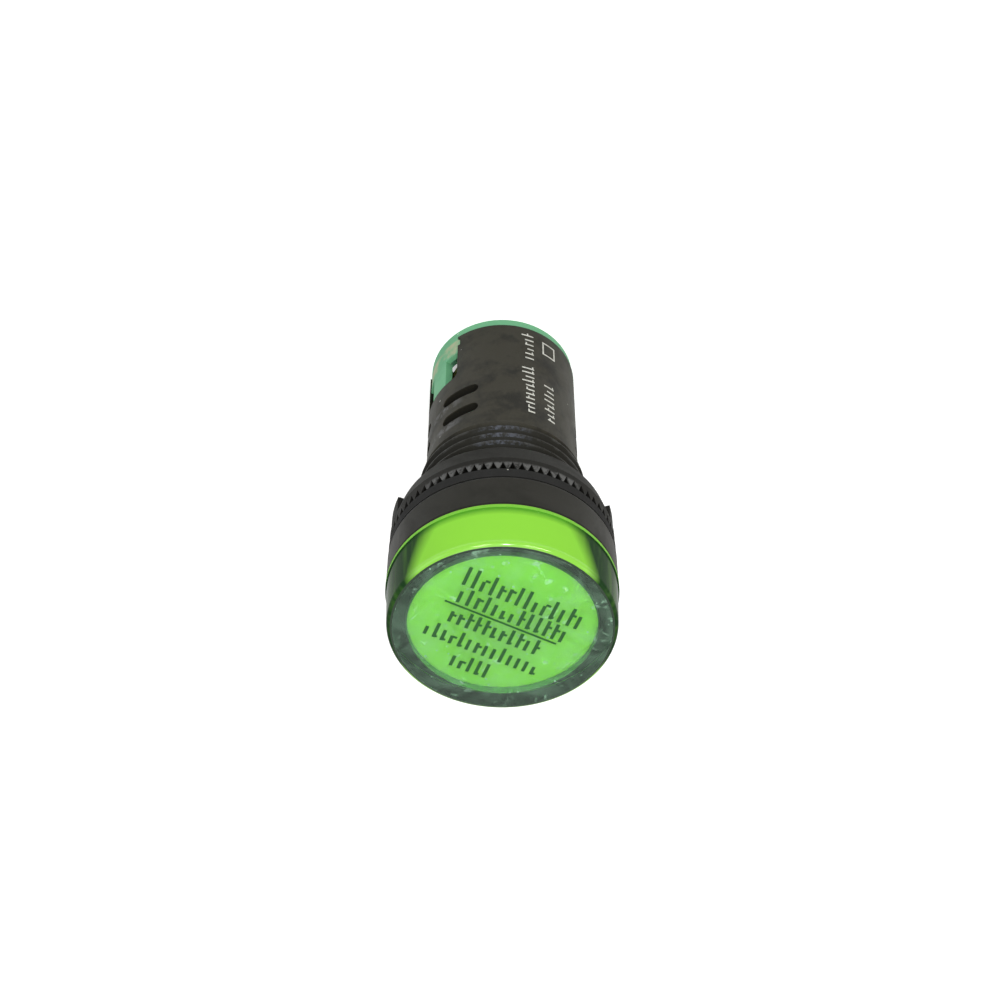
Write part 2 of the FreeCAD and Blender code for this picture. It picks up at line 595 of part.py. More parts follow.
def terminal_base():
    """Green moulding that closes the rear and carries both terminals."""
    base = disc(FLANGE_RADIUS, 0, FLANGE_THICKNESS)
    base = base.makeChamfer(FLANGE_CHAMFER, circle_edges(base, FLANGE_RADIUS, 0))
    base = base.fuse(disc(PLUG_RADIUS, FLANGE_THICKNESS, BASE_TOP))
    column_top = WINDOW_TOP - KEY_CLEARANCE
    reach = FLANGE_RADIUS
    columns = block((-reach, -COLUMN_WIDTH / 2, KEY_TOP), (reach, COLUMN_WIDTH / 2, column_top))
    columns = columns.common(ring(reach - COLUMN_THICKNESS - PLUG_CLEARANCE, reach, KEY_TOP, column_top))
    base = base.fuse(window_keys()).fuse(columns).removeSplitter()
    for angle in (0, 180):
        base = base.cut(turned(bay_cutter(), angle))
    slot_half = DRIVER_FACE + DRIVER_SLOT_CLEARANCE
    slot = block((-slot_half, -DRIVER_WIDTH / 2 - DRIVER_SLOT_CLEARANCE, DRIVER_BOTTOM),
                 (slot_half, DRIVER_WIDTH / 2 + DRIVER_SLOT_CLEARANCE, BASE_TOP))
    return base.cut(slot)


def terminal_plate():
    """Brass angle on +X: threaded plate under the top of the base and a solder tab up the centre wall."""
    plate = block((BAY_INNER, -PLATE_HALF_WIDTH, PLATE_BOTTOM), (PLATE_OUTER, PLATE_HALF_WIDTH, PLATE_TOP))
    tab = block((BAY_INNER, -TAB_WIDTH / 2, PLATE_BOTTOM), (TAB_FACE, TAB_WIDTH / 2, BASE_TOP + TAB_RISE))
    plate = plate.fuse(tab).removeSplitter()
    return plate.cut(disc(SCREW_RADIUS + SCREW_CLEARANCE, PLATE_BOTTOM, PLATE_TOP, SCREW_OFFSET))


def wire_clamp():
    """Square saddle on +X that presses the wires against the terminal plate."""
    saddle = block((CLAMP_INNER, -CLAMP_HALF_WIDTH, CLAMP_SEAT_HEIGHT),
                   (CLAMP_OUTER, CLAMP_HALF_WIDTH, CLAMP_SEAT_HEIGHT + CLAMP_THICKNESS))
    for low in (-CLAMP_HALF_WIDTH, CLAMP_HALF_WIDTH - CLAMP_LIP_THICKNESS):
        high = low + CLAMP_LIP_THICKNESS
        saddle = saddle.fuse(block((CLAMP_INNER, low, CLAMP_SEAT_HEIGHT), (CLAMP_OUTER, high, CLAMP_TOP)))
    saddle = saddle.removeSplitter()
    corners = [(x, y) for x in (CLAMP_INNER, CLAMP_OUTER) for y in (-CLAMP_HALF_WIDTH, CLAMP_HALF_WIDTH)]
    saddle = saddle.makeFillet(CLAMP_CORNER, upright_edges(saddle, corners))
    return saddle.cut(disc(SCREW_RADIUS + SCREW_CLEARANCE, CLAMP_SEAT_HEIGHT, CLAMP_TOP, SCREW_OFFSET))


def terminal_screw():
    """Screw on +X, driven from the rear: domed head with a cross recess, and a plain shank."""
    head_bottom = CLAMP_SEAT_HEIGHT - SCREW_HEAD_HEIGHT
    head = disc(SCREW_HEAD_RADIUS, head_bottom, CLAMP_SEAT_HEIGHT)
    head = head.makeFillet(SCREW_HEAD_ROUND, circle_edges(head, SCREW_HEAD_RADIUS, head_bottom))
    half_long = SCREW_RECESS_LENGTH / 2
    half_wide = SCREW_RECESS_WIDTH / 2
    recess_top = head_bottom + SCREW_RECESS_DEPTH
    for long_x, long_y in ((half_long, half_wide), (half_wide, half_long)):
        head = head.cut(block((-long_x, -long_y, head_bottom), (long_x, long_y, recess_top)))
    shank = disc(SCREW_RADIUS, CLAMP_SEAT_HEIGHT, SCREW_TIP)
    shank = shank.makeChamfer(SCREW_TIP_CHAMFER, circle_edges(shank, SCREW_RADIUS, SCREW_TIP))
    screw = head.fuse(shank).removeSplitter()
    screw.translate(Vector(SCREW_OFFSET, 0, 0))
    return screw


def lead():
    """Insulated lead on +X, up from the solder tab and over to the driver board."""
    start = Vector(LEAD_X, 0, LEAD_START)
    rise = Vector(LEAD_X, 0, LEAD_START + WIRE_RISE)
    half_turn = math.pi / 4
    middle = rise + Vector(math.cos(half_turn) - 1, 0, math.sin(half_turn)) * LEAD_BEND
    finish = Vector(DRIVER_FACE, 0, LEAD_END)
    edges = [Part.LineSegment(start, rise).toShape(), Part.Arc(rise, middle, finish).toShape()]
    profile = Part.Wire([Part.Circle(start, AXIS, WIRE_RADIUS).toShape()])
    return Part.Wire(edges).makePipeShell([profile], True, False)


def build():
    """Every node of the lamp, by name."""
    nodes = {
        "protective_film": protective_film(),
        "lens_cap": lens_cap(),
        "lens_seal": lens_seal(),
        "diffuser_cup": diffuser_cup(),
        "led_board": led_board(),
        "leds": leds(),
        "link_pins": link_pins(),
        "driver_board": driver_board(),
        "dropper_resistors": dropper_resistors(),
        "film_capacitor": film_capacitor(),
        "bridge_rectifier": bridge_rectifier(),
        "body_shell": body_shell(),
        "panel_gasket": panel_gasket(),
        "mounting_nut": mounting_nut(),
        "terminal_base": terminal_base(),
    }
    for number, angle in ((1, 0), (2, 180)):
        nodes["terminal_plate_%d" % number] = turned(terminal_plate(), angle)
        nodes["wire_clamp_%d" % number] = turned(wire_clamp(), angle)
        nodes["terminal_screw_%d" % number] = turned(terminal_screw(), angle)
        nodes["lead_%d" % number] = turned(lead(), angle)
    return nodes


def main():
    """Write one STEP file for each node."""
    os.makedirs("parts", exist_ok=True)
    for name, shape in build().items():
        if not shape.isValid():
            raise ValueError("%s is not a valid solid" % name)
        shape.exportStep("parts/%s.step" % name)
        print("%-20s solids %d  volume %9.2f mm3" % (name, len(shape.Solids), shape.Volume))


main()
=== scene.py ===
"""Looks of the panel pilot light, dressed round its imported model.

The lamp stands on its rear end with the lens up. Pieces are modelled in millimetres, in the row
frame, and brought to metres when they are finished. Materials read places in metres.
"""

import logging
import math
import random
from dataclasses import dataclass
from enum import Enum, IntEnum
from typing import Iterator, Optional, Sequence, Union

import bpy
from bpy.types import Material, Node, NodeSocket, NodeTree, Object
from mathutils import Matrix, Vector

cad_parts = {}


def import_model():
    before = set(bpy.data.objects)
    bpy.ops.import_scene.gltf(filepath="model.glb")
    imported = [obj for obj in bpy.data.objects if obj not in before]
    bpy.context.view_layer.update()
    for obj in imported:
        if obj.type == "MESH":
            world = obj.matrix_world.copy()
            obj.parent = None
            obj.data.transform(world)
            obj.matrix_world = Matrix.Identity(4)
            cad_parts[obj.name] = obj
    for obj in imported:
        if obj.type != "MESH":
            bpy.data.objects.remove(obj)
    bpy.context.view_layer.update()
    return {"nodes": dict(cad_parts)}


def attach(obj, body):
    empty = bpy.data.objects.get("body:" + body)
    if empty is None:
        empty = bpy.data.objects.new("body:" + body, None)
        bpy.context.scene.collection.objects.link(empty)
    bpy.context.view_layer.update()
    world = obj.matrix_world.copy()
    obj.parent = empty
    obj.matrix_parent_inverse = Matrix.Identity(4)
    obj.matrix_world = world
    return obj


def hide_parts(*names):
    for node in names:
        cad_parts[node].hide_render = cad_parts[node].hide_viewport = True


LOG = logging.getLogger("pilot_light")
MM = 0.001
SEGMENTS = 160
SAME_RADIUS = 1e-7
# Edges sharper than this many degrees stay sharp.
SMOOTH_ANGLE = 35.0
# Share of its radius where a disc's outline starts. One flat face fills the rest.
HUB = 0.5
# Sides of the barrel, as level directions.
CAMERA_SIDE = (0.481, -0.877)
SLOT_SIDE = (0.985, -0.17)
# Sockets of a Mix node that mixes colours.
MIX_AMOUNT, MIX_FIRST, MIX_SECOND, MIX_RESULT = 0, 6, 7, 2

Triple = tuple[float, float, float]
Colour = Corner = Triple

WHITE = (1.0, 1.0, 1.0)
WARM_WHITE = (1.0, 0.94, 0.75)


def deselect_all() -> None:
    """Deselect every object."""
    bpy.ops.object.select_all(action="DESELECT")


def activate(piece: Object) -> None:
    """Select one object alone and make it the active one.

    Args:
        piece: The object to work on.
    """
    deselect_all()
    piece.select_set(True)
    bpy.context.view_layer.objects.active = piece


def rounded(corners: Sequence[Corner], steps: int) -> list[tuple[float, float]]:
    """Turn an outline with corner radii into plain points.

    Args:
        corners: (radius, height, corner radius) in millimetres, in order along the outline.
        steps: Points on each rounded corner, less one.

    Returns:
        (radius, height) points.
    """
    points: list[tuple[float, float]] = []
    for index, (radius, height, fillet) in enumerate(corners):
        if not fillet:
            points.append((radius, height))
            continue
        here = Vector((radius, height))
        before = (Vector(corners[index - 1][:2]) - here).normalized()
        after = (Vector(corners[index + 1][:2]) - here).normalized()
        half = before.angle(after) / 2
        reach = fillet / math.tan(half)
        middle = here + (before + after).normalized() * (fillet / math.sin(half))
        start = here + before * reach - middle
        finish = here + after * reach - middle
        sweep = start.angle_signed(finish)
        for step in range(steps + 1):
            spoke = start.copy()
            spoke.rotate(Matrix.Rotation(-sweep * step / steps, 2))
            points.append(tuple(middle + spoke))
    return points


def turned_piece(name: str, corners: Sequence[Corner], steps: int) -> Object:
    """Turn an outline about the upright axis by extruding and scaling one ring after another.

    Args:
        name: Name of the new object.
        corners: (radius, height, corner radius) along the outline, in millimetres. A flat face
            closes the piece at each end of it.
        steps: Points on each rounded corner, less one.

    Returns:
        The new object, in millimetres.
    """
    points = rounded(corners, steps)
    radius, height = points[0]
    deselect_all()
    bpy.ops.mesh.primitive_circle_add(vertices=SEGMENTS, radius=radius, location=(0, 0, height),
                                      enter_editmode=True)
    piece = bpy.context.active_object
    piece.name = name
    bpy.ops.mesh.select_all(action="SELECT")
    for next_radius, next_height in points[1:]:
        rise = {"value": (0, 0, next_height - height)}
        bpy.ops.mesh.extrude_region_move(TRANSFORM_OT_translate=rise)
        factor = next_radius / radius
        if abs(factor - 1) > SAME_RADIUS:
            bpy.ops.transform.resize(value=(factor, factor, 1), center_override=(0, 0, next_height))
        radius, height = next_radius, next_height
    bpy.ops.mesh.select_all(action="SELECT")
    bpy.ops.mesh.fill_holes(sides=0)
    bpy.ops.mesh.select_all(action="DESELECT")
    bpy.ops.mesh.select_face_by_sides(number=4, type="GREATER")
    bpy.ops.mesh.poke()
    bpy.ops.mesh.select_all(action="SELECT")
    bpy.ops.mesh.normals_make_consistent(inside=False)
    bpy.ops.object.mode_set(mode="OBJECT")
    return piece


def joined(pieces: Sequence[Object], name: str) -> Object:
    """Join several meshes into one object.

    Args:
        pieces: The objects to join.
        name: Name of the result.

    Returns:
        The joined object, which is the active one.
    """
    activate(pieces[0])
    for piece in pieces[1:]:
        piece.select_set(True)
    bpy.ops.object.join()
    pieces[0].name = name
    return pieces[0]


def to_metres(piece: Object) -> None:
    """Bring a piece from millimetres to metres with its place in its mesh, and smooth it.

    Args:
        piece: The finished object.
    """
    activate(piece)
    bpy.ops.object.transform_apply()
    piece.scale = (MM, MM, MM)
    bpy.ops.object.transform_apply()
    bpy.ops.object.shade_smooth_by_angle(angle=math.radians(SMOOTH_ANGLE))


@dataclass(frozen=True)
class Graph:
    """Adds and joins nodes in one shader tree, of a material or of a node group."""

    tree: NodeTree

    def feed(self, node: Node, inputs: dict) -> None:
        """Set sockets of a node and link what feeds them.

        Args:
            node: The node to feed.
            inputs: Values or output sockets by input name or number.
        """
        for key, value in inputs.items():
            if isinstance(value, NodeSocket):
                self.tree.links.new(value, node.inputs[key])
            else:
                node.inputs[key].default_value = value

    def add(self, kind: str, inputs: Optional[dict] = None, **settings: object) -> Node:
        """Add a node and feed it.

        Args:
            kind: Short type name, such as "TexNoise".
            inputs: Values or output sockets by input name or number.
            **settings: Properties of the node itself.

        Returns:
            The new node.
        """
        node = self.tree.nodes.new("ShaderNode" + kind)
        for key, value in settings.items():
            setattr(node, key, value)
        self.feed(node, inputs or {})
        return node

    def math(self, operation: str, *values: object) -> NodeSocket:
        """Join values with one arithmetic step.

        Args:
            operation: Blender's name of the step.
            *values: Numbers or sockets.

        Returns:
            The socket with the result.
        """
        return self.add("Math", dict(enumerate(values)), operation=operation).outputs[0]

    def product(self, *values: object) -> NodeSocket:
        """Multiply two or more values.

        Args:
            *values: Numbers or sockets, of which the first is a socket.

        Returns:
            The socket with the product.
        """
        result = values[0]
        for value in values[1:]:
            result = self.math("MULTIPLY", result, value)
        return result

    def blend(self, amount: object, first: object, second: object) -> NodeSocket:
        """Mix two colours.

        Args:
            amount: Share of the second colour.
            first: Colour or socket.
            second: Colour or socket.

        Returns:
            The socket with the mixed colour.
        """
        inputs = {MIX_AMOUNT: amount, MIX_FIRST: first, MIX_SECOND: second}
        return self.add("Mix", inputs, data_type="RGBA").outputs[MIX_RESULT]

    def ramp(self, value: NodeSocket, low: float, high: float) -> NodeSocket:
        """Stretch a value so that it runs from 0 at one level to 1 at another.

        Args:
            value: The socket to read.
            low: Level that becomes 0.
            high: Level that becomes 1.

        Returns:
            The socket with the stretched, clamped value.
        """
        inputs = {"Value": value, "From Min": low, "From Max": high}
        return self.add("MapRange", inputs, clamp=True).outputs["Result"]

    def coordinates(self) -> NodeSocket:
        """Read the object's own coordinates.

        Returns:
            The socket with the place.
        """
        return self.add("TexCoord").outputs["Object"]

    def out(self, kind: str, **inputs: object) -> NodeSocket:
        """Add a node for its first output alone.

        Args:
            kind: Short type name, such as "TexNoise".
            **inputs: Values or output sockets by input name.

        Returns:
            The first output socket.
        """
        return self.add(kind, inputs).outputs[0]


class Effect(Enum):
    """Effects that several finishes share, each a node group."""

    GRAIN = "moulded grain"
    DUST = "dust specks"
    SMUDGE = "handling smudges"
    WEAR = "rubbed edges"
    ZONE = "wear and painted light zone"


class EffectLibrary:
    """Builds the shared node groups once and places them in materials."""

    COARSE_GRAIN_SCALE = 0.12
    COARSE_GRAIN_SHARE = 0.6
    LARGEST_SPECK = 0.22
    SOFT_HEIGHT = 0.0004
    SOFT_SIDE = 0.08
    LEAST_REACH = 0.0001
    PATCH_CONTRAST = 6.0

    def __init__(self) -> None:
        """Build every group."""
        self.groups = {
            Effect.GRAIN: self._grain(),
            Effect.DUST: self._dust(),
            Effect.SMUDGE: self._smudge(),
            Effect.WEAR: self._wear(),
            Effect.ZONE: self._zone(),
        }

    @staticmethod
    def _new(effect: Effect, *inputs: str) -> tuple[Graph, Sequence[NodeSocket], Node]:
        """Make an empty group with its sockets.

        Args:
            effect: The effect that names the group.
            *inputs: Names of the inputs.

        Returns:
            The graph, the sockets that carry the group's inputs, and the output node.
        """
        tree = bpy.data.node_groups.new(effect.value, "ShaderNodeTree")
        for name in inputs:
            tree.interface.new_socket(name=name, in_out="INPUT", socket_type="NodeSocketFloat")
        tree.interface.new_socket(name="Result", in_out="OUTPUT", socket_type="NodeSocketFloat")
        given = tree.nodes.new("NodeGroupInput").outputs
        return Graph(tree), given, tree.nodes.new("NodeGroupOutput")

    def _grain(self) -> NodeTree:
        """Fine sparkle-eroded surface of a mould, as a height."""
        graph, given, leave = self._new(Effect.GRAIN, "Scale")
        place = graph.coordinates()
        fine = graph.out("TexNoise", Vector=place, Scale=given["Scale"], Detail=3.0)
        coarse_scale = graph.product(given["Scale"], self.COARSE_GRAIN_SCALE)
        coarse = graph.out("TexNoise", Vector=place, Scale=coarse_scale, Detail=2.0)
        height = graph.math("MULTIPLY_ADD", coarse, self.COARSE_GRAIN_SHARE, fine)
        graph.feed(leave, {0: height})
        return graph.tree

    def _dust(self) -> NodeTree:
        """Scattered specks of dust, as a mask."""
        graph, given, leave = self._new(Effect.DUST, "Scale", "Amount")
        cells = graph.add("TexVoronoi", {"Vector": graph.coordinates(), "Scale": given["Scale"]})
        chance = graph.add("SeparateColor", {0: cells.outputs["Color"]}).outputs
        kept = graph.math("LESS_THAN", chance[0], given["Amount"])
        size = graph.product(chance[1], self.LARGEST_SPECK)
        near = graph.math("LESS_THAN", cells.outputs["Distance"], size)
        graph.feed(leave, {0: graph.product(kept, near)})
        return graph.tree

    def _smudge(self) -> NodeTree:
        """Soft patches left by fingers, as a mask."""
        graph, given, leave = self._new(Effect.SMUDGE, "Scale")
        noise = graph.out("TexNoise", Vector=graph.coordinates(), Scale=given["Scale"],
                          Detail=5.0, Roughness=0.6, Distortion=0.8)
        graph.feed(leave, {0: graph.ramp(noise, low=0.42, high=0.68)})
        return graph.tree

    def _wear(self) -> NodeTree:
        """Lighter, rubbed edges, broken up by noise, as a mask."""
        graph, given, leave = self._new(Effect.WEAR, "Radius", "Amount")
        soft = graph.add("Bevel", {"Radius": given["Radius"]}, samples=6).outputs[0]
        plain = graph.add("NewGeometry").outputs["Normal"]
        lined = graph.add("VectorMath", {0: soft, 1: plain}, operation="DOT_PRODUCT")
        edge = graph.ramp(graph.math("SUBTRACT", 1.0, lined.outputs["Value"]), low=0.03, high=0.22)
        noise = graph.out("TexNoise", Vector=graph.coordinates(), Scale=900.0, Detail=4.0)
        broken = graph.ramp(noise, low=0.35, high=0.65)
        graph.feed(leave, {0: graph.product(edge, broken, given["Amount"])})
        return graph.tree

    def _zone(self) -> NodeTree:
        """Patchy mask between two heights, beyond one radius and within one side of the barrel."""
        graph, given, leave = self._new(Effect.ZONE, "Low", "High", "Radius", "Side X", "Side Y",
                                        "Spread", "Patch Scale", "Patch")
        place = graph.coordinates()
        x, y, height = graph.add("SeparateXYZ", {0: place}).outputs
        above = graph.ramp(graph.math("SUBTRACT", height, given["Low"]), 0.0, self.SOFT_HEIGHT)
        below = graph.ramp(graph.math("SUBTRACT", given["High"], height), 0.0, self.SOFT_HEIGHT)
        reach = graph.math("SQRT", graph.math("ADD", graph.product(x, x), graph.product(y, y)))
        beyond = graph.math("GREATER_THAN", reach, given["Radius"])
        along = graph.math("ADD", graph.product(x, given["Side X"]),
                           graph.product(y, given["Side Y"]))
        facing = graph.math("DIVIDE", along, graph.math("MAXIMUM", reach, self.LEAST_REACH))
        side = graph.ramp(graph.math("SUBTRACT", facing, given["Spread"]), 0.0, self.SOFT_SIDE)
        noise = graph.out("TexNoise", Vector=place, Scale=given["Patch Scale"], Detail=4.0,
                          Roughness=0.65)
        patch = graph.math("SUBTRACT", noise, given["Patch"])
        patch = graph.ramp(graph.math("MULTIPLY_ADD", patch, self.PATCH_CONTRAST, 0.5), 0.0, 1.0)
        graph.feed(leave, {0: graph.product(above, below, beyond, side, patch)})
        return graph.tree

    def place(self, graph: Graph, effect: Effect, **inputs: float) -> NodeSocket:
        """Put a group into a material.

        Args:
            graph: The material's graph.
            effect: Which effect.
            **inputs: Values of the group's inputs, with _ for each space in a name.

        Returns:
            The group's output socket.
        """
        node = graph.tree.nodes.new("ShaderNodeGroup")
        node.node_tree = self.groups[effect]
        graph.feed(node, {name.replace("_", " "): value for name, value in inputs.items()})
        return node.outputs[0]


def new_material(name: str) -> tuple[Material, Graph, Node]:
    """Make a material with a Principled shader.

    Args:
        name: Name of the material.

    Returns:
        The material, its graph and the Principled node.
    """
    material = bpy.data.materials.new(name)
    material.use_nodes = True
    tree = material.node_tree
    return material, Graph(tree), tree.nodes["Principled BSDF"]


def opaque(colour: Colour, shade: float = 1.0) -> tuple[float, ...]:
    """Add full alpha to a colour.

    Args:
        colour: Red, green and blue.
        shade: Factor that darkens it.

    Returns:
        Red, green, blue and alpha.
    """
    return (*(channel * shade for channel in colour), 1.0)


@dataclass(frozen=True)
class WearAndLightZone:
    """A part of a surface in another colour: wear on most zones, painted light on the thread crests
    and teeth. Heights and radii are in metres.
    """

    colour: Colour
    low: float
    high: float
    radius: float
    side: tuple[float, float] = (0.0, 0.0)
    spread: float = -0.5
    patch_scale: float = 260.0
    patch: float = 0.5


@dataclass(frozen=True)
class MouldedPlastic:
    """Moulded plastic with fine grain, smudges, dust and lighter edges."""

    name: str
    colour: Colour
    rubbed: Colour
    roughness: float = 0.42
    specular: float = 0.15
    wear: float = 0.5
    dust: float = 0.04
    dust_colour: Colour = (0.3, 0.3, 0.28)
    patchiness: float = 0.25
    patch_shade: float = 0.7
    smudge_roughness: float = 0.12
    zones: tuple[WearAndLightZone, ...] = ()

    def build(self, effects: EffectLibrary) -> Material:
        """Make the material.

        Args:
            effects: The shared groups.

        Returns:
            The material.
        """
        material, graph, shader = new_material(self.name)
        smudge = effects.place(graph, Effect.SMUDGE, Scale=150.0)
        wear = effects.place(graph, Effect.WEAR, Radius=0.00018, Amount=self.wear)
        dust = effects.place(graph, Effect.DUST, Scale=1100.0, Amount=self.dust)
        grain = effects.place(graph, Effect.GRAIN, Scale=5200.0)
        body = graph.blend(graph.product(smudge, self.patchiness), opaque(self.colour),
                           opaque(self.colour, self.patch_shade))
        # Zones lay their colours: wear, and painted light on the thread crests and teeth.
        for zone in self.zones:
            mask = effects.place(graph, Effect.ZONE, Low=zone.low, High=zone.high,
                                 Radius=zone.radius, Side_X=zone.side[0], Side_Y=zone.side[1],
                                 Spread=zone.spread, Patch_Scale=zone.patch_scale,
                                 Patch=zone.patch)
            body = graph.blend(mask, body, opaque(zone.colour))
        edged = graph.blend(wear, body, opaque(self.rubbed))
        graph.feed(shader, {
            "Base Color": graph.blend(dust, edged, opaque(self.dust_colour)),
            "Roughness": graph.math("MULTIPLY_ADD", smudge, self.smudge_roughness, self.roughness),
            "Normal": graph.out("Bump", Height=grain, Strength=0.35, Distance=0.00002),
            "Specular IOR Level": self.specular,
        })
        return material


@dataclass(frozen=True)
class ClearCap:
    """Clear green plastic that lets the lamps through to what it covers."""

    name: str = "clear green lens"
    tint: Colour = (0.72, 0.95, 0.62)
    shadow_tint: Colour = (0.8, 0.98, 0.7)
    depth_tint: Colour = (0.25, 0.8, 0.15)
    smudge_roughness: float = 0.05

    def build(self, effects: EffectLibrary) -> Material:
        """Make the material.

        Args:
            effects: The shared groups.

        Returns:
            The material.
        """
        material, graph, shader = new_material(self.name)
        smudge = effects.place(graph, Effect.SMUDGE, Scale=210.0)
        graph.feed(shader, {
            "Base Color": opaque(self.tint),
            "IOR": 1.49,
            "Transmission Weight": 1.0,
            "Roughness": graph.product(smudge, self.smudge_roughness),
        })
        through = graph.out("BsdfTransparent", Color=opaque(self.shadow_tint))
        shadow = graph.add("LightPath").outputs["Is Shadow Ray"]
        mix = graph.add("MixShader", {0: shadow, 1: shader.outputs[0], 2: through})
        depth = graph.out("VolumeAbsorption", Color=opaque(self.depth_tint), Density=110.0)
        output = graph.tree.nodes["Material Output"]
        graph.feed(output, {"Surface": mix.outputs[0], "Volume": depth})
        return material


@dataclass(frozen=True)
class LitWall:
    """Side of the lens: an opaque green wall painted with glow from outside, clear plastic from
    within.

    Heights are in metres. Towards the outline the wall turns to painted shade, earlier near its
    foot; the foot itself gets painted shade, and lighter painted streaks cross the dark ends.
    """

    name: str = "lit side of the lens"
    # Painted glow, standing for light that shines through the wall.
    bright: Colour = (0.223, 0.565, 0.045)
    # Painted shade at the foot of the wall.
    foot: Colour = (0.08, 0.3, 0.02)
    # Painted shade towards the outline.
    end: Colour = (0.012, 0.04, 0.012)
    foot_low: float = 0.0454
    foot_high: float = 0.0464
    height: float = 0.0061
    narrowing: float = 0.11
    dark_from: float = 0.56
    dark_to: float = 0.67
    # Share of lighter painted streaks in the dark ends.
    streak_share: float = 0.15
    specular: float = 0.05
    end_specular: float = 0.03

    def build(self, effects: EffectLibrary) -> Material:
        """Make the material.

        Args:
            effects: The shared groups.

        Returns:
            The material.
        """
        material = ClearCap(self.name).build(effects)
        graph = Graph(material.node_tree)
        place = graph.coordinates()
        x, y, height = graph.add("SeparateXYZ", {0: place}).outputs
        radial = graph.out("CombineXYZ", X=x, Y=y)
        outward = graph.add("VectorMath", {0: radial}, operation="NORMALIZE").outputs[0]
        facing = graph.add("LayerWeight", {"Blend": 0.5, "Normal": outward}).outputs["Facing"]
        # Painted shade towards the outline, coming on earlier lower down the wall.
        top = self.foot_low + self.height
        down = graph.math("DIVIDE", graph.math("SUBTRACT", top, height), self.height)
        dark = graph.math("MULTIPLY_ADD", down, self.narrowing, facing)
        dark = graph.ramp(dark, self.dark_from, self.dark_to)
        # Lighter painted streaks through that shade.
        stretched = graph.out("Mapping", Vector=place, Scale=(900.0, 900.0, 90.0))
        streak = graph.out("TexNoise", Vector=stretched, Scale=1.0, Detail=3.0)
        light = graph.product(graph.ramp(streak, low=0.45, high=0.8), self.streak_share)
        dark = graph.product(dark, graph.math("SUBTRACT", 1.0, light))
        # Painted shade at the foot of the wall.
        foot = graph.math("SUBTRACT", 1.0, graph.ramp(height, self.foot_low, self.foot_high))
        body = graph.blend(foot, opaque(self.bright), opaque(self.foot))
        # Opaque wall with painted glow, turning to a dark gloss of painted shade at the outline.
        wall, gloss = (
            graph.add("BsdfPrincipled", {"Base Color": colour, "Roughness": 0.1,
                                         "Specular IOR Level": specular}).outputs[0]
            for colour, specular in ((body, self.specular), (opaque(self.end), self.end_specular))
        )
        glazed = graph.add("MixShader", {0: dark, 1: wall, 2: gloss}).outputs[0]
        nodes = material.node_tree.nodes
        mix = nodes["Material Output"].inputs["Surface"].links[0].from_node
        clear = nodes["Principled BSDF"].outputs[0]
        inside = graph.add("NewGeometry").outputs["Backfacing"]
        two_sided = graph.add("MixShader", {0: inside, 1: glazed, 2: clear})
        graph.feed(mix, {1: two_sided.outputs[0]})
        return material


@dataclass(frozen=True)
class InnerStep:
    """Edge of the hollow in the lens, in painted colours: one from the hollow, and painted shade
    where it is seen through the plastic.
    """

    name: str
    colour: Colour
    # Painted shade, seen through the plastic.
    behind: Colour = (0.03, 0.075, 0.03)
    smudge_shade: float = 0.75

    def build(self, effects: EffectLibrary) -> Material:
        """Make the material.

        Args:
            effects: The shared groups.

        Returns:
            The material.
        """
        material, graph, shader = new_material(self.name)
        smudge = effects.place(graph, Effect.SMUDGE, Scale=300.0)
        front = graph.blend(smudge, opaque(self.colour), opaque(self.colour, self.smudge_shade))
        inside = graph.add("NewGeometry").outputs["Backfacing"]
        graph.feed(shader, {
            "Base Color": graph.blend(inside, front, opaque(self.behind)),
            "Roughness": 0.5,
            "Specular IOR Level": 0.1,
        })
        return material


@dataclass(frozen=True)
class DiffuserPlastic:
    """Translucent bright plastic of the inner cup."""

    name: str = "translucent diffuser"
    colour: Colour = (0.278, 0.48, 0.045)
    shade: Colour = (0.225, 0.42, 0.036)
    patchiness: float = 0.35

    def build(self, effects: EffectLibrary) -> Material:
        """Make the material.

        Args:
            effects: The shared groups.

        Returns:
            The material.
        """
        material, graph, shader = new_material(self.name)
        smudge = effects.place(graph, Effect.SMUDGE, Scale=70.0)
        grain = effects.place(graph, Effect.GRAIN, Scale=2500.0)
        graph.feed(shader, {
            "Base Color": graph.blend(graph.product(smudge, self.patchiness), opaque(self.colour),
                                      opaque(self.shade)),
            "Normal": graph.out("Bump", Height=grain, Strength=0.3, Distance=0.00003),
            "Roughness": 0.6,
            "Subsurface Weight": 0.25,
            "Subsurface Radius": (0.0008, 0.0015, 0.0005),
            "Subsurface Scale": 1.0,
        })
        return material


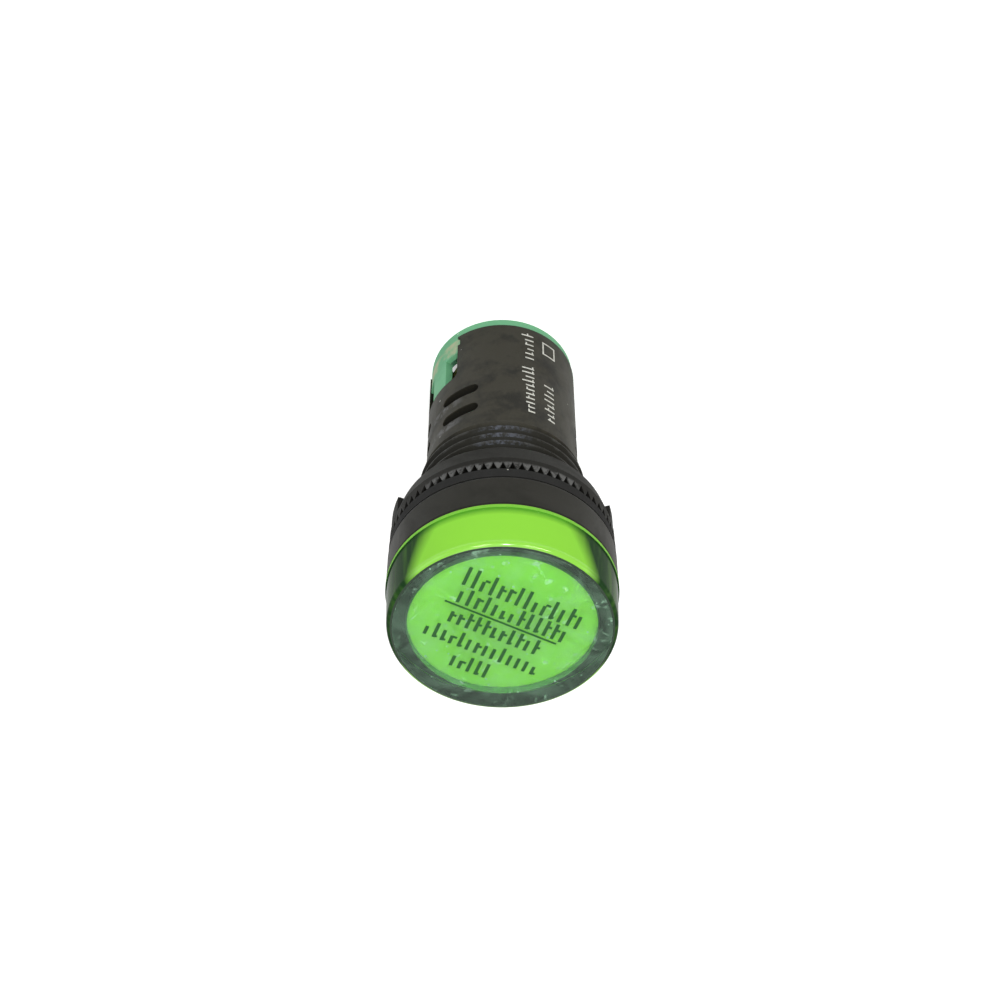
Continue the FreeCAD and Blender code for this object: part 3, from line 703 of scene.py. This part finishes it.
@dataclass(frozen=True)
class PeelFilm:
    """Thin clear film with haze, small bubbles, specks and scratches.

    The strengths are the alpha of each kind of blemish.
    """

    name: str = "peel-off film"
    veil: Colour = (0.5, 0.86, 0.6)
    clear: float = 0.03
    haze: float = 0.06
    dust: float = 0.42
    flake: float = 0.26
    scratch: float = 0.15

    def build(self, effects: EffectLibrary) -> Material:
        """Make the material.

        Args:
            effects: The shared groups.

        Returns:
            The material.
        """
        material, graph, shader = new_material(self.name)
        haze = effects.place(graph, Effect.SMUDGE, Scale=260.0)
        dust = effects.place(graph, Effect.DUST, Scale=1300.0, Amount=0.12)
        place = graph.coordinates()
        flake = graph.out("TexNoise", Vector=place, Scale=650.0, Detail=5.0, Roughness=0.6,
                          Distortion=0.4)
        flake = graph.ramp(flake, low=0.59, high=0.7)
        turned = graph.out("Mapping", Vector=place, Rotation=(0, 0, 0.5),
                           Scale=(300.0, 3500.0, 300.0))
        scratch = graph.out("TexNoise", Vector=turned, Scale=1.0, Detail=2.0)
        scratch = graph.ramp(scratch, low=0.66, high=0.74)
        veil = graph.math("MULTIPLY_ADD", haze, self.haze, self.clear)
        for mask, strength in ((dust, self.dust), (flake, self.flake), (scratch, self.scratch)):
            veil = graph.math("MAXIMUM", veil, graph.product(mask, strength))
        graph.feed(shader, {
            "Alpha": veil,
            "Normal": graph.out("Bump", Height=haze, Strength=0.25, Distance=0.00008),
            "Base Color": opaque(self.veil),
            "Roughness": 0.25,
        })
        return material


@dataclass(frozen=True)
class PrintInk:
    """Screen print that is worn thin in places."""

    name: str
    colour: Colour = (0.6, 0.6, 0.56)
    thin: float = 0.35

    def build(self, effects: EffectLibrary) -> Material:
        """Make the material.

        Args:
            effects: The shared groups.

        Returns:
            The material.
        """
        material, graph, shader = new_material(self.name)
        smudge = effects.place(graph, Effect.SMUDGE, Scale=900.0)
        graph.feed(shader, {
            "Alpha": graph.math("SUBTRACT", 1.0, graph.product(smudge, self.thin)),
            "Base Color": opaque(self.colour),
            "Roughness": 0.6,
        })
        return material


@dataclass(frozen=True)
class PlainMetal:
    """Bright metal with brushing and a little tarnish."""

    name: str
    colour: Colour
    tarnish: Colour
    tarnish_share: float = 0.5
    roughness: float = 0.28
    smudge_roughness: float = 0.15

    def build(self, effects: EffectLibrary) -> Material:
        """Make the material.

        Args:
            effects: The shared groups.

        Returns:
            The material.
        """
        material, graph, shader = new_material(self.name)
        smudge = effects.place(graph, Effect.SMUDGE, Scale=320.0)
        grain = effects.place(graph, Effect.GRAIN, Scale=3000.0)
        graph.feed(shader, {
            "Base Color": graph.blend(graph.product(smudge, self.tarnish_share),
                                      opaque(self.colour), opaque(self.tarnish)),
            "Roughness": graph.math("MULTIPLY_ADD", smudge, self.smudge_roughness, self.roughness),
            "Normal": graph.out("Bump", Height=grain, Strength=0.2, Distance=0.00001),
            "Metallic": 1.0,
        })
        return material


SLEEVE_BROWN = WearAndLightZone((0.033, 0.0305, 0.0225), 0.0017, 0.0246, radius=0.01, patch=0.44)
# Painted highlight: bluish, lighter thread crests on the side towards the camera.
PAINTED_CREST_HIGHLIGHT = WearAndLightZone((0.085, 0.092, 0.118), 0.0247, 0.0298, radius=0.0106, side=CAMERA_SIDE,
                    spread=0.93, patch_scale=1500.0, patch=0.52)
UPPER_CRESTS = WearAndLightZone((0.042, 0.041, 0.039), 0.0247, 0.0381, radius=0.0108,
                          patch_scale=500.0, patch=0.54)
SLOT_LIPS = tuple(
    WearAndLightZone((0.12, 0.12, 0.125), low, high, radius=0.01, side=SLOT_SIDE, spread=0.93,
               patch_scale=800.0, patch=0.52)
    for low, high in ((0.0159, 0.0176), (0.02, 0.0217))
)
# Lighter teeth on the side towards the camera: part wear, part painted light.
TEETH_WEAR_AND_PAINTED_LIGHT = WearAndLightZone((0.095, 0.095, 0.095), 0.0366, 0.0383, radius=0.0142, side=CAMERA_SIDE,
                   spread=0.72, patch_scale=1100.0, patch=0.45)
KEY_DUST = WearAndLightZone((0.4, 0.42, 0.27), 0.0019, 0.0052, radius=0.0096)

# Finishes of the CAD nodes that keep their shape.
FINISHES: Sequence[tuple[Union[MouldedPlastic, PlainMetal], Sequence[str]]] = (
    (MouldedPlastic("black moulded housing", (0.0165, 0.0158, 0.0125), (0.055, 0.053, 0.05),
                    zones=(SLEEVE_BROWN, UPPER_CRESTS, PAINTED_CREST_HIGHLIGHT, *SLOT_LIPS), dust=0.012,
                    wear=0.35, patchiness=0.6),
     ("body_shell",)),
    (MouldedPlastic("black moulded nut", (0.012, 0.0115, 0.01), (0.04, 0.04, 0.038),
                    roughness=0.5, specular=0.1, zones=(TEETH_WEAR_AND_PAINTED_LIGHT,), dust=0.012, wear=0.3,
                    patchiness=0.6),
     ("mounting_nut",)),
    (MouldedPlastic("green moulded base", (0.15, 0.42, 0.23), (0.27, 0.56, 0.36), roughness=0.45,
                    zones=(KEY_DUST,), wear=0.4, dust_colour=(0.5, 0.6, 0.5)),
     ("terminal_base",)),
    (MouldedPlastic("black rubber", (0.016, 0.016, 0.016), (0.05, 0.05, 0.05), roughness=0.75,
                    wear=0.3),
     ("panel_gasket", "lens_seal")),
    (MouldedPlastic("fibre board", (0.55, 0.47, 0.24), (0.65, 0.58, 0.36), roughness=0.5),
     ("led_board", "driver_board")),
    (MouldedPlastic("green diode resin", (0.3, 0.75, 0.3), (0.5, 0.9, 0.5), roughness=0.15),
     ("leds",)),
    (MouldedPlastic("sand lacquer", (0.42, 0.26, 0.11), (0.5, 0.35, 0.2)),
     ("dropper_resistors",)),
    (MouldedPlastic("yellow case", (0.6, 0.3, 0.02), (0.7, 0.4, 0.1), roughness=0.25),
     ("film_capacitor",)),
    (MouldedPlastic("dark case", (0.012, 0.012, 0.013), (0.06, 0.06, 0.06), roughness=0.3),
     ("bridge_rectifier",)),
    (MouldedPlastic("red insulation", (0.35, 0.012, 0.01), (0.45, 0.05, 0.04)),
     ("lead_1", "lead_2")),
    (PlainMetal("stamped brass", (0.82, 0.58, 0.22), (0.5, 0.32, 0.11)),
     ("terminal_plate_1", "terminal_plate_2", "wire_clamp_1", "wire_clamp_2")),
    (PlainMetal("zinc plated steel", (0.72, 0.72, 0.68), (0.45, 0.45, 0.42)),
     ("terminal_screw_1", "terminal_screw_2")),
    (PlainMetal("tinned pins", (0.8, 0.78, 0.7), (0.55, 0.52, 0.45)),
     ("link_pins",)),
)


def dress(nodes: dict[str, Object], effects: EffectLibrary) -> None:
    """Give every CAD node that keeps its shape its material.

    Args:
        nodes: The CAD nodes by name.
        effects: The shared groups.
    """
    for finish, names in FINISHES:
        material = finish.build(effects)
        for name in names:
            materials = nodes[name].data.materials
            materials.clear()
            materials.append(material)
            LOG.info("dressed %s with %s", name, material.name)


class CapSlot(IntEnum):
    """Material slots of the clear cap, in the order of its finishes."""

    CLEAR = 0
    CONTACT = 1
    LIP = 2
    WALL = 3
    STEP = 4
    CORNER = 5
    EDGE = 6
    LIT_EDGE = 7


@dataclass
class Lens:
    """Clear cap, inner cup and the film on the face, in millimetres."""

    effects: EffectLibrary
    rim_radius: float = 14.5
    rim_round: float = 0.06
    rear_radius: float = 14.35
    front_radius: float = 14.1
    bore_radius: float = 11.75
    spigot_radius: float = 12.75
    seat: float = 44.85
    rim_top: float = 45.4
    front: float = 51.5
    front_wall: float = 1.2
    edge_round: float = 0.75
    lit_slope: float = 0.93
    inner_round: float = 0.14
    step_depth: float = 1.05
    spigot_bottom: float = 43.1
    margin: float = 0.05
    cup_radius: float = 11.7
    cup_round: float = 0.06
    cup_wall: float = 0.9
    cup_bottom: float = 42.4
    cup_top_gap: float = 1.0
    film_radius: float = 13.4
    film_round: float = 0.03
    film_lift: float = 0.01
    film_thickness: float = 0.1

    def build(self) -> None:
        """Model and dress the three pieces."""
        self._cap()
        self._cup()
        self._film()

    @property
    def inner_top(self) -> float:
        """Height of the cap's inner face."""
        return self.front - self.front_wall

    def _cap(self) -> None:
        """Clear cap, with one finish for each part of its surface."""
        corners = [
            (self.front_radius * HUB, self.front, 0),
            (self.front_radius, self.front, self.edge_round),
            (self.rear_radius, self.rim_top, self.rim_round),
            (self.rim_radius, self.rim_top, self.rim_round),
            (self.rim_radius, self.seat, 0),
            (self.spigot_radius, self.seat, 0),
            (self.spigot_radius, self.spigot_bottom, 0),
            (self.bore_radius, self.spigot_bottom, 0),
            (self.bore_radius, self.inner_top - self.step_depth, 0),
            (self.bore_radius, self.inner_top, self.inner_round),
            (self.bore_radius * HUB, self.inner_top, 0),
        ]
        cap = turned_piece("lens_clear_cap", corners, steps=8)
        finishes = (
            ClearCap(),
            # Black bezel seen through the lens, tinted green as painted light from the lens.
            MouldedPlastic("bezel seen in contact", (0.008, 0.024, 0.016), (0.008, 0.024, 0.016),
                           roughness=0.8, specular=0.0, wear=0.0, dust=0.0),
            # Opaque green on the clear lip: painted glow of light carried in the lens.
            DiffuserPlastic("lit lip of the lens", (0.15, 0.47, 0.015), (0.09, 0.32, 0.012)),
            LitWall(),
            # Opaque colours on the clear edge of the hollow: painted shade on the step, painted
            # light on the corner.
            InnerStep("shaded step inside the lens", (0.05, 0.17, 0.04)),
            InnerStep("painted light on the corner inside the lens", (0.36, 0.7, 0.33)),
            # Opaque dark green on the clear rounded edge: painted shade, glossy so that the lamps
            # still glint on it.
            MouldedPlastic("painted shade on the rounded lens edge", (0.012, 0.035, 0.014), (0.1, 0.2, 0.12),
                           roughness=0.08, specular=0.9, wear=0.0, dust=0.0),
            # Lit part of the rounded edge: the same painted glow as the wall, glossier for the
            # lamps' glints.
            LitWall("lit edge of the lens", specular=0.7),
        )
        for finish in finishes:
            cap.data.materials.append(finish.build(self.effects))
        for face in cap.data.polygons:
            height = face.center.z + cap.location.z
            reach = math.hypot(face.center.x, face.center.y)
            face.material_index = self._cap_slot(height, reach, face.normal.z)
        to_metres(cap)
        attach(cap, "housing")
        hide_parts("lens_cap")
        LOG.info("built %s", cap.name)

    def _cap_slot(self, height: float, reach: float, slope: float) -> CapSlot:
        """Choose the finish of one face of the cap.

        Args:
            height: Height of its middle.
            reach: Distance of its middle from the axis.
            slope: Upward part of its normal.

        Returns:
            The material slot.
        """
        outside = reach > self.spigot_radius + self.margin
        on_bore = abs(reach - self.bore_radius) < self.inner_round
        if height < self.seat + self.margin and reach > self.bore_radius + self.margin:
            return CapSlot.CONTACT
        if outside and height < self.rim_top - self.margin:
            return CapSlot.LIP
        if outside and height < self.front - self.edge_round:
            return CapSlot.WALL
        if reach > self.front_radius - self.edge_round:
            return CapSlot.LIT_EDGE if slope < self.lit_slope else CapSlot.EDGE
        if on_bore and height > self.inner_top - self.inner_round:
            return CapSlot.CORNER
        if on_bore and height > self.inner_top - self.step_depth:
            return CapSlot.STEP
        return CapSlot.CLEAR

    def _cup(self) -> None:
        """Bright cup under the cap."""
        top = self.inner_top - self.cup_top_gap
        inner = self.cup_radius - self.cup_wall
        corners = [
            (self.cup_radius * HUB, top, 0),
            (self.cup_radius, top, self.cup_round),
            (self.cup_radius, self.cup_bottom, 0),
            (inner, self.cup_bottom, 0),
            (inner, top - self.cup_wall, 0),
            (self.cup_radius * HUB, top - self.cup_wall, 0),
        ]
        cup = turned_piece("lens_inner_cup", corners, steps=8)
        cup.data.materials.append(DiffuserPlastic().build(self.effects))
        to_metres(cup)
        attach(cup, "housing")
        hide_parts("diffuser_cup")
        LOG.info("built %s", cup.name)

    def _film(self) -> None:
        """Film just off the face of the cap."""
        bottom = self.front + self.film_lift
        top = bottom + self.film_thickness
        corners = [
            (self.film_radius * HUB, top, 0),
            (self.film_radius, top, self.film_round),
            (self.film_radius, bottom, 0),
            (self.film_radius * HUB, bottom, 0),
        ]
        film = turned_piece("lens_peel_film", corners, steps=3)
        film.data.materials.append(PeelFilm().build(self.effects))
        to_metres(film)
        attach(film, "housing")
        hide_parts("protective_film")
        LOG.info("built %s", film.name)


@dataclass(frozen=True)
class MarkRow:
    """One row of generic strokes: where it runs and how tall it is, in the mark's own plane.

    drop sets a row a little lower, so that strokes that cross don't share a face.
    """

    start: float
    finish: float
    baseline: float
    height: float
    solid: bool = False
    drop: float = 0.0


@dataclass
class PrintedMarks:
    """Rows of generic strokes in a plane, in millimetres, to be laid on a surface."""

    STROKE_HEIGHTS = (1.0, 0.72, 0.72, 1.0, 0.55)
    BAR_LEVELS = (0.12, 0.5, 0.62)
    BAR_CHANCE = 0.45
    BAR_LENGTH = 0.55
    BAR_SHIFT = 0.4
    BAR_WIDTH = 0.8
    CROSSING_DROP = 0.002
    CUTS = 3

    effects: EffectLibrary
    name: str
    rows: Sequence[MarkRow]
    seed: int = 0
    stroke: float = 0.26
    pitch: float = 0.98
    thickness: float = 0.01
    lean: float = 0.0

    @staticmethod
    def _strip(middle: tuple[float, float], size: tuple[float, float], lean: float = 0.0,
               drop: float = 0.0) -> Object:
        """One stroke as a flat strip.

        Args:
            middle: Middle of the stroke, along the row and across it.
            size: Its width and height.
            lean: Turn in radians.
            drop: How far it lies below the others.

        Returns:
            The new strip.
        """
        deselect_all()
        bpy.ops.mesh.primitive_plane_add(size=1, location=(0, 0, 0))
        strip = bpy.context.active_object
        strip.scale = (*size, 1)
        strip.rotation_euler = (0, 0, lean)
        strip.location = (*middle, -drop)
        bpy.ops.object.transform_apply()
        return strip

    def _strips(self, row: MarkRow, draw: random.Random) -> Iterator[Object]:
        """Lay out one row.

        Args:
            row: The row.
            draw: Where the random choices come from.

        Yields:
            Its strokes and bars.
        """
        length = row.finish - row.start
        if row.solid:
            middle = (row.start + length / 2, row.baseline + row.height / 2)
            yield self._strip(middle, (length, row.height), drop=row.drop)
            return
        count = round(length / self.pitch)
        for index in range(count):
            x = row.start + length * (index + 0.5) / count
            tall = row.height * draw.choice(self.STROKE_HEIGHTS)
            yield self._strip((x, row.baseline + tall / 2), (self.stroke, tall), self.lean)
            if draw.random() < self.BAR_CHANCE:
                bar = self.pitch * self.BAR_LENGTH
                level = row.baseline + row.height * draw.choice(self.BAR_LEVELS)
                yield self._strip((x + bar * self.BAR_SHIFT, level),
                                  (bar, self.stroke * self.BAR_WIDTH), drop=self.CROSSING_DROP)

    def flat(self) -> Object:
        """Lay the rows out in the plane.

        Returns:
            One flat mesh with every stroke, cut up so that it can bend.
        """
        draw = random.Random(self.seed)
        marks = joined([strip for row in self.rows for strip in self._strips(row, draw)], self.name)
        bpy.ops.object.mode_set(mode="EDIT")
        bpy.ops.mesh.select_all(action="SELECT")
        bpy.ops.mesh.subdivide(number_cuts=self.CUTS)
        bpy.ops.object.mode_set(mode="OBJECT")
        return marks

    def finish(self, marks: Object, ink: PrintInk, slot: str) -> None:
        """Give the marks their thickness and ink, and fix them to the lamp.

        Args:
            marks: The marks in place, in millimetres.
            ink: Their finish.
            slot: Not used.
        """
        solid = marks.modifiers.new("thickness", "SOLIDIFY")
        solid.thickness = self.thickness
        solid.offset = 1.0
        activate(marks)
        bpy.ops.object.modifier_apply(modifier=solid.name)
        marks.data.materials.append(ink.build(self.effects))
        to_metres(marks)
        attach(marks, "housing")
        LOG.info("built %s", marks.name)


@dataclass
class FilmNotice:
    """Dark strokes on the film, where the real one carries a notice."""

    effects: EffectLibrary
    face: float = 51.611

    def build(self) -> None:
        """Model and dress the strokes."""
        rows = [
            MarkRow(-8.6, 7.9, 4.5, 3.0),
            MarkRow(-7.8, 7.4, 1.65, 2.6),
            MarkRow(-8.5, 6.8, 1.05, 0.3, solid=True),
            MarkRow(-7.2, 5.5, -1.7, 2.5),
            MarkRow(-8.8, 7.1, -4.95, 2.5),
            MarkRow(-3.5, 2.1, -8.3, 2.5),
        ]
        notice = PrintedMarks(self.effects, "film_notice_strokes", rows, seed=11, stroke=0.45,
                              pitch=1.15, thickness=0.008, lean=0.148)
        marks = notice.flat()
        marks.rotation_euler = (0, 0, math.pi)
        marks.location = (0, 0, self.face)
        notice.finish(marks, PrintInk("film print", (0.02, 0.095, 0.02), thin=0.15), "film")


@dataclass
class SleeveMarks:
    """White strokes on the sleeve, where the real one carries print."""

    effects: EffectLibrary
    radius: float = 10.15
    lift: float = 0.015
    stand_off: float = 1.0

    def build(self) -> None:
        """Model and dress both columns and the plain square at the rear of the second one."""
        self._column("sleeve_strokes_1", -81.5,
                     [MarkRow(-20.9, -10.6, -0.95, 1.9), MarkRow(-9.2, -3.0, -0.95, 1.9)], 5)
        self._column("sleeve_strokes_2", -99.5, [MarkRow(-21.0, -12.9, -0.9, 1.8)], 8)
        low, high, half, line = -6.4, -3.6, 1.2, 0.26
        uprights = {"solid": True, "drop": PrintedMarks.CROSSING_DROP}
        square = [
            MarkRow(low, high, half - line, line, solid=True),
            MarkRow(low, high, -half, line, solid=True),
            MarkRow(low, low + line, -half, 2 * half, **uprights),
            MarkRow(high - line, high, -half, 2 * half, **uprights),
        ]
        self._column("sleeve_square_mark", -100.5, square, ink="sleeve mark print")

    def _lay(self, piece: Object, angle: float) -> None:
        """Lay flat marks on the sleeve: their rows run down the axis.

        Args:
            piece: The flat marks, whose x is minus the height.
            angle: Direction of the column from +X, in degrees.
        """
        turn = math.radians(angle)
        out = Vector((math.cos(turn), math.sin(turn), 0))
        across = Vector((-math.sin(turn), math.cos(turn), 0))
        down = Vector((0, 0, -1))
        placed = Matrix((down, across, out)).transposed().to_4x4()
        placed.translation = out * (self.radius + self.stand_off)
        piece.matrix_world = placed
        activate(piece)
        bpy.ops.object.transform_apply()
        for vertex in piece.data.vertices:
            reach = math.hypot(vertex.co.x, vertex.co.y)
            level = vertex.co.dot(out) - self.radius - self.stand_off
            factor = (self.radius + self.lift + level) / reach
            vertex.co.x *= factor
            vertex.co.y *= factor

    def _column(self, name: str, angle: float, rows: Sequence[MarkRow], seed: int = 0,
                ink: str = "sleeve print") -> None:
        """One column of strokes.

        Args:
            name: Name of the piece.
            angle: Direction of the column from +X, in degrees.
            rows: The rows, with x as minus the height.
            seed: Seed of the stroke choice.
            ink: Name of the ink.
        """
        marks = PrintedMarks(self.effects, name, rows, seed)
        piece = marks.flat()
        self._lay(piece, angle)
        marks.finish(piece, PrintInk(ink), "housing_black")


@dataclass(frozen=True)
class Lamp:
    """One flat lamp, with lengths in metres and power in watts."""

    name: str
    place: Vector
    size: tuple[float, float]
    power: float
    colour: Colour

    def hang(self, target: Vector) -> None:
        """Add the lamp to the scene.

        Args:
            target: What it points at.
        """
        bpy.ops.object.light_add(type="AREA", location=self.place)
        lamp = bpy.context.active_object
        lamp.name = self.name
        lamp.data.shape = "RECTANGLE"
        lamp.data.size, lamp.data.size_y = self.size
        lamp.data.energy = self.power
        lamp.data.color = self.colour
        lamp.rotation_euler = (target - self.place).to_track_quat("-Z", "Y").to_euler()


@dataclass
class Studio:
    """Floor, world, lamps and the camera, in metres."""

    floor_size: float = 4.0
    floor_grey: float = 0.86
    plain_light: float = 0.5
    seen_light: float = 0.5
    lamps_back: float = 0.02
    camera_place: Triple = (0.0743, -0.1349, 0.2068)
    camera_right: Triple = (-0.877, -0.481, 0.0)
    camera_up: Triple = (0.365, -0.666, -0.651)
    camera_ahead: Triple = (-0.313, 0.571, -0.759)
    focal_length: float = 64.8

    def build(self) -> None:
        """Set everything that isn't part of the lamp."""
        bpy.context.scene.view_settings.view_transform = "Standard"
        self._world()
        self._floor()
        self._lamps()
        self._camera()

    @staticmethod
    def _seen(graph: Graph) -> NodeSocket:
        """1 for rays that look at the background, straight or through glass.

        Args:
            graph: Graph of the material or world.

        Returns:
            The socket with the mask.
        """
        path = graph.add("LightPath").outputs
        return graph.math("MAXIMUM", path["Is Camera Ray"], path["Is Transmission Ray"])

    def _world(self) -> None:
        """Even light from all round, white where it is looked at."""
        world = bpy.data.worlds.new("studio")
        world.use_nodes = True
        bpy.context.scene.world = world
        graph = Graph(world.node_tree)
        light = graph.math("MULTIPLY_ADD", self._seen(graph), self.seen_light, self.plain_light)
        graph.feed(world.node_tree.nodes["Background"],
                   {"Color": opaque(WHITE), "Strength": light})

    def _floor(self) -> None:
        """Pale floor that keeps the lamp's shadow, lifted to white where it is looked at."""
        deselect_all()
        bpy.ops.mesh.primitive_plane_add(size=self.floor_size, location=(0, 0, 0))
        floor = bpy.context.active_object
        floor.name = "floor"
        material, graph, shader = new_material("pale floor")
        graph.feed(shader, {
            "Base Color": opaque(WHITE, self.floor_grey),
            "Roughness": 0.9,
            "Emission Color": opaque(WHITE),
            "Emission Strength": graph.product(self._seen(graph), self.seen_light),
        })
        floor.data.materials.append(material)

    def _lamps(self) -> None:
        """Soft light from above and both sides, and small lamps by the camera for glints."""
        middle = Vector((0, 0, 0.03))
        right = Vector(self.camera_right)
        by_camera = Vector(self.camera_place) - Vector(self.camera_ahead) * self.lamps_back
        lamps = (
            Lamp("soft_top", Vector((0.1, -0.15, 0.75)), (0.6, 0.6), 0.9, WHITE),
            Lamp("cool_side", Vector((0.55, 0.1, 0.3)), (0.4, 0.4), 0.5, (0.82, 0.9, 1.0)),
            Lamp("warm_side", Vector((-0.55, -0.25, 0.3)), (0.4, 0.4), 0.6, (1.0, 0.93, 0.82)),
            Lamp("point_by_camera", by_camera + right * 0.014, (0.018, 0.02), 0.2,
                 (0.85, 0.93, 1.0)),
            Lamp("strip_left", by_camera - right * 0.06, (0.045, 0.015), 0.12, WARM_WHITE),
            Lamp("strip_right", by_camera + right * 0.11, (0.09, 0.015), 0.14, WARM_WHITE),
        )
        for lamp in lamps:
            lamp.hang(middle)

    def _camera(self) -> None:
        """Camera at the photograph's place."""
        bpy.ops.object.camera_add()
        camera = bpy.context.active_object
        camera.name = "photo_camera"
        camera.data.lens = self.focal_length
        camera.data.sensor_width = 36.0
        camera.data.clip_start = 0.01
        axes = Matrix((self.camera_right, self.camera_up, -Vector(self.camera_ahead))).transposed()
        placed = axes.to_4x4()
        placed.translation = self.camera_place
        camera.matrix_world = placed
        bpy.context.scene.camera = camera


def main() -> None:
    """Build the looks of the lamp and the studio round it."""
    logging.basicConfig(level=logging.INFO, format="%(name)s %(message)s")
    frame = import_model()
    effects = EffectLibrary()
    dress(frame["nodes"], effects)
    Lens(effects).build()
    FilmNotice(effects).build()
    SleeveMarks(effects).build()
    Studio().build()


if __name__ == "__main__":
    main()
